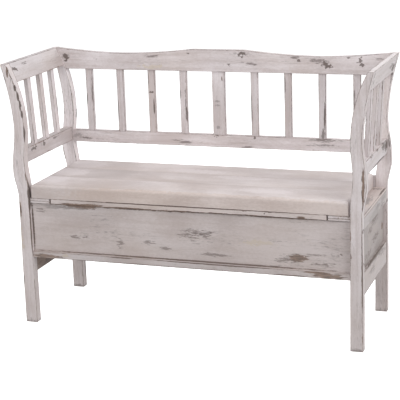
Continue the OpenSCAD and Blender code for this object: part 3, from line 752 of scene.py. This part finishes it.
FINISHES = {"frame_wood": frame_wood, "panel_wood": panel_wood, "lid_wood": lid_wood,
            "raw_wood": raw_wood, "dowel_wood": dowel_wood, "steel": dull_steel}

# ---------- rounded edges ----------
SMOOTH_BELOW = math.radians(30)
ROUND_ABOVE = math.radians(40)
# how wide the edges of the washed boards are rounded
ROUNDING = {"frame_wood": 1.2 * MM, "panel_wood": 1.2 * MM, "lid_wood": 0.35 * MM}


def shade_smooth():
    """Geometry nodes that smooth every face but keep the sharper edges sharp."""
    group = bpy.data.node_groups.new("smooth_faces", "GeometryNodeTree")
    group.interface.new_socket("Geometry", in_out="INPUT", socket_type="NodeSocketGeometry")
    group.interface.new_socket("Geometry", in_out="OUTPUT", socket_type="NodeSocketGeometry")
    entry = group.nodes.new("NodeGroupInput")
    leave = group.nodes.new("NodeGroupOutput")
    faces = group.nodes.new("GeometryNodeSetShadeSmooth")
    edges = group.nodes.new("GeometryNodeSetShadeSmooth")
    edges.domain = "EDGE"
    edges.inputs["Shade Smooth"].default_value = False
    angle = group.nodes.new("GeometryNodeInputMeshEdgeAngle")
    over = group.nodes.new("ShaderNodeMath")
    over.operation = "GREATER_THAN"
    over.inputs[1].default_value = SMOOTH_BELOW
    link = group.links.new
    link(angle.outputs[0], over.inputs[0])
    link(entry.outputs[0], faces.inputs["Geometry"])
    link(faces.outputs[0], edges.inputs["Geometry"])
    link(over.outputs[0], edges.inputs["Selection"])
    link(edges.outputs[0], leave.inputs[0])
    return group


def round_edges(piece, width, smooth):
    """Join the vertices that faces share, smooth the faces and round the sharp edges."""
    weld = piece.modifiers.new("weld", "WELD")
    weld.merge_threshold = 0.01 * MM
    shading = piece.modifiers.new("smooth", "NODES")
    shading.node_group = smooth
    bevel = piece.modifiers.new("round", "BEVEL")
    bevel.limit_method = "ANGLE"
    bevel.angle_limit = ROUND_ABOVE
    bevel.width = width
    bevel.segments = 2
    bevel.harden_normals = True


def dress_nodes():
    smooth = shade_smooth()
    for node, piece in NODES.items():
        slot = SLOT_OF[node]
        piece.data.materials.clear()
        piece.data.materials.append(FINISHES[slot](node))
        if slot in ROUNDING:
            round_edges(piece, ROUNDING[slot], smooth)


# ---------- camera, floor and light ----------
# the camera stands in front of the bench, to its right, and looks down on it; its lens is in
# millimetres, and what it aims at is measured from the middle of the bench and from the floor
CAMERA_TURN = math.radians(19.57)
CAMERA_DIP = math.radians(14.71)
CAMERA_ROLL = math.radians(1.93)
CAMERA_DISTANCE = 4.1895
CAMERA_LENS = 115.13
AIM_ASIDE = -13.6 * MM
AIM_HEIGHT = 398.1 * MM

FLOOR_HALF = 40         # half the width of the square floor
FLOOR_GAP = 0.2 * MM    # how far below the feet it lies
FLOOR_GLOW = 0.95

WORLD_GLOW = 0.44
# area lights: name, place, aim, size in metres, power in watts
LIGHTS = (
    ("top", (0, -0.3, 2.6), (0, 0, 0.4), (2.6, 1.6), 12),
    ("front", (-1.2, -3.2, 2.4), (0, 0, 0.6), (2.0, 2.0), 50),
    ("right", (3.2, -1.4, 2.4), (0, 0, 0.6), (2.2, 2.2), 74),
    ("left", (-3.2, 0.4, 2.2), (0, 0, 0.6), (2.2, 2.2), 18),
    ("back", (0.8, 3.4, 2.0), (0, 0, 0.5), (2.4, 2.0), 46),
)


def add_camera():
    aim = Vector(((LOW.x + HIGH.x) / 2 + AIM_ASIDE, 0, LOW.z + AIM_HEIGHT))
    forward = Vector((-math.sin(CAMERA_TURN) * math.cos(CAMERA_DIP),
                      math.cos(CAMERA_TURN) * math.cos(CAMERA_DIP), -math.sin(CAMERA_DIP)))
    right = Vector((math.cos(CAMERA_TURN), math.sin(CAMERA_TURN), 0))
    down = forward.cross(right)
    rolled_right = right * math.cos(CAMERA_ROLL) + down * math.sin(CAMERA_ROLL)
    rolled_down = down * math.cos(CAMERA_ROLL) - right * math.sin(CAMERA_ROLL)
    data = bpy.data.cameras.new("camera")
    data.lens = CAMERA_LENS
    camera = bpy.data.objects.new("camera", data)
    pose = Matrix((rolled_right, -rolled_down, -forward)).transposed().to_4x4()
    pose.translation = aim - forward * CAMERA_DISTANCE
    camera.matrix_world = pose
    bpy.context.scene.collection.objects.link(camera)
    bpy.context.scene.camera = camera


def floor_paper():
    """White paper that gives off light, so that it stays white behind the bench."""
    s = Shader("floor_paper")
    grain = s.noise(s.place, 30, 3, 0.5)
    colour = s.mix(s.step(grain, 0.3, 0.7), PAPER_SHADE, PAPER)
    s.fill(s.surface.inputs["Base Color"], colour)
    s.surface.inputs["Roughness"].default_value = 0.9
    s.surface.inputs["Specular IOR Level"].default_value = 0.1
    s.fill(s.surface.inputs["Emission Color"], colour)
    s.surface.inputs["Emission Strength"].default_value = FLOOR_GLOW
    return s.material


def add_floor():
    half = FLOOR_HALF
    mesh = bpy.data.meshes.new("floor")
    corners = [(-half, -half, 0), (half, -half, 0), (half, half, 0), (-half, half, 0)]
    mesh.from_pydata(corners, [], [(0, 1, 2, 3)])
    mesh.materials.append(floor_paper())
    floor = bpy.data.objects.new("floor", mesh)
    floor.location.z = LOW.z - FLOOR_GAP
    floor.visible_diffuse = False
    bpy.context.scene.collection.objects.link(floor)


def add_light(name, place, aim, size, power):
    data = bpy.data.lights.new(name, "AREA")
    data.shape = "RECTANGLE"
    data.size, data.size_y = size
    data.energy = power
    light = bpy.data.objects.new(name, data)
    light.location = place
    light.rotation_euler = (Vector(aim) - Vector(place)).to_track_quat("-Z", "Y").to_euler()
    bpy.context.scene.collection.objects.link(light)


def light_studio():
    world = bpy.data.worlds.new("studio")
    world.use_nodes = True
    background = world.node_tree.nodes["Background"]
    background.inputs["Color"].default_value = (1, 1, 1, 1)
    background.inputs["Strength"].default_value = WORLD_GLOW
    bpy.context.scene.world = world
    for light in LIGHTS:
        add_light(*light)
    bpy.context.scene.view_settings.view_transform = "Standard"


dress_nodes()
add_camera()
add_floor()
light_studio()
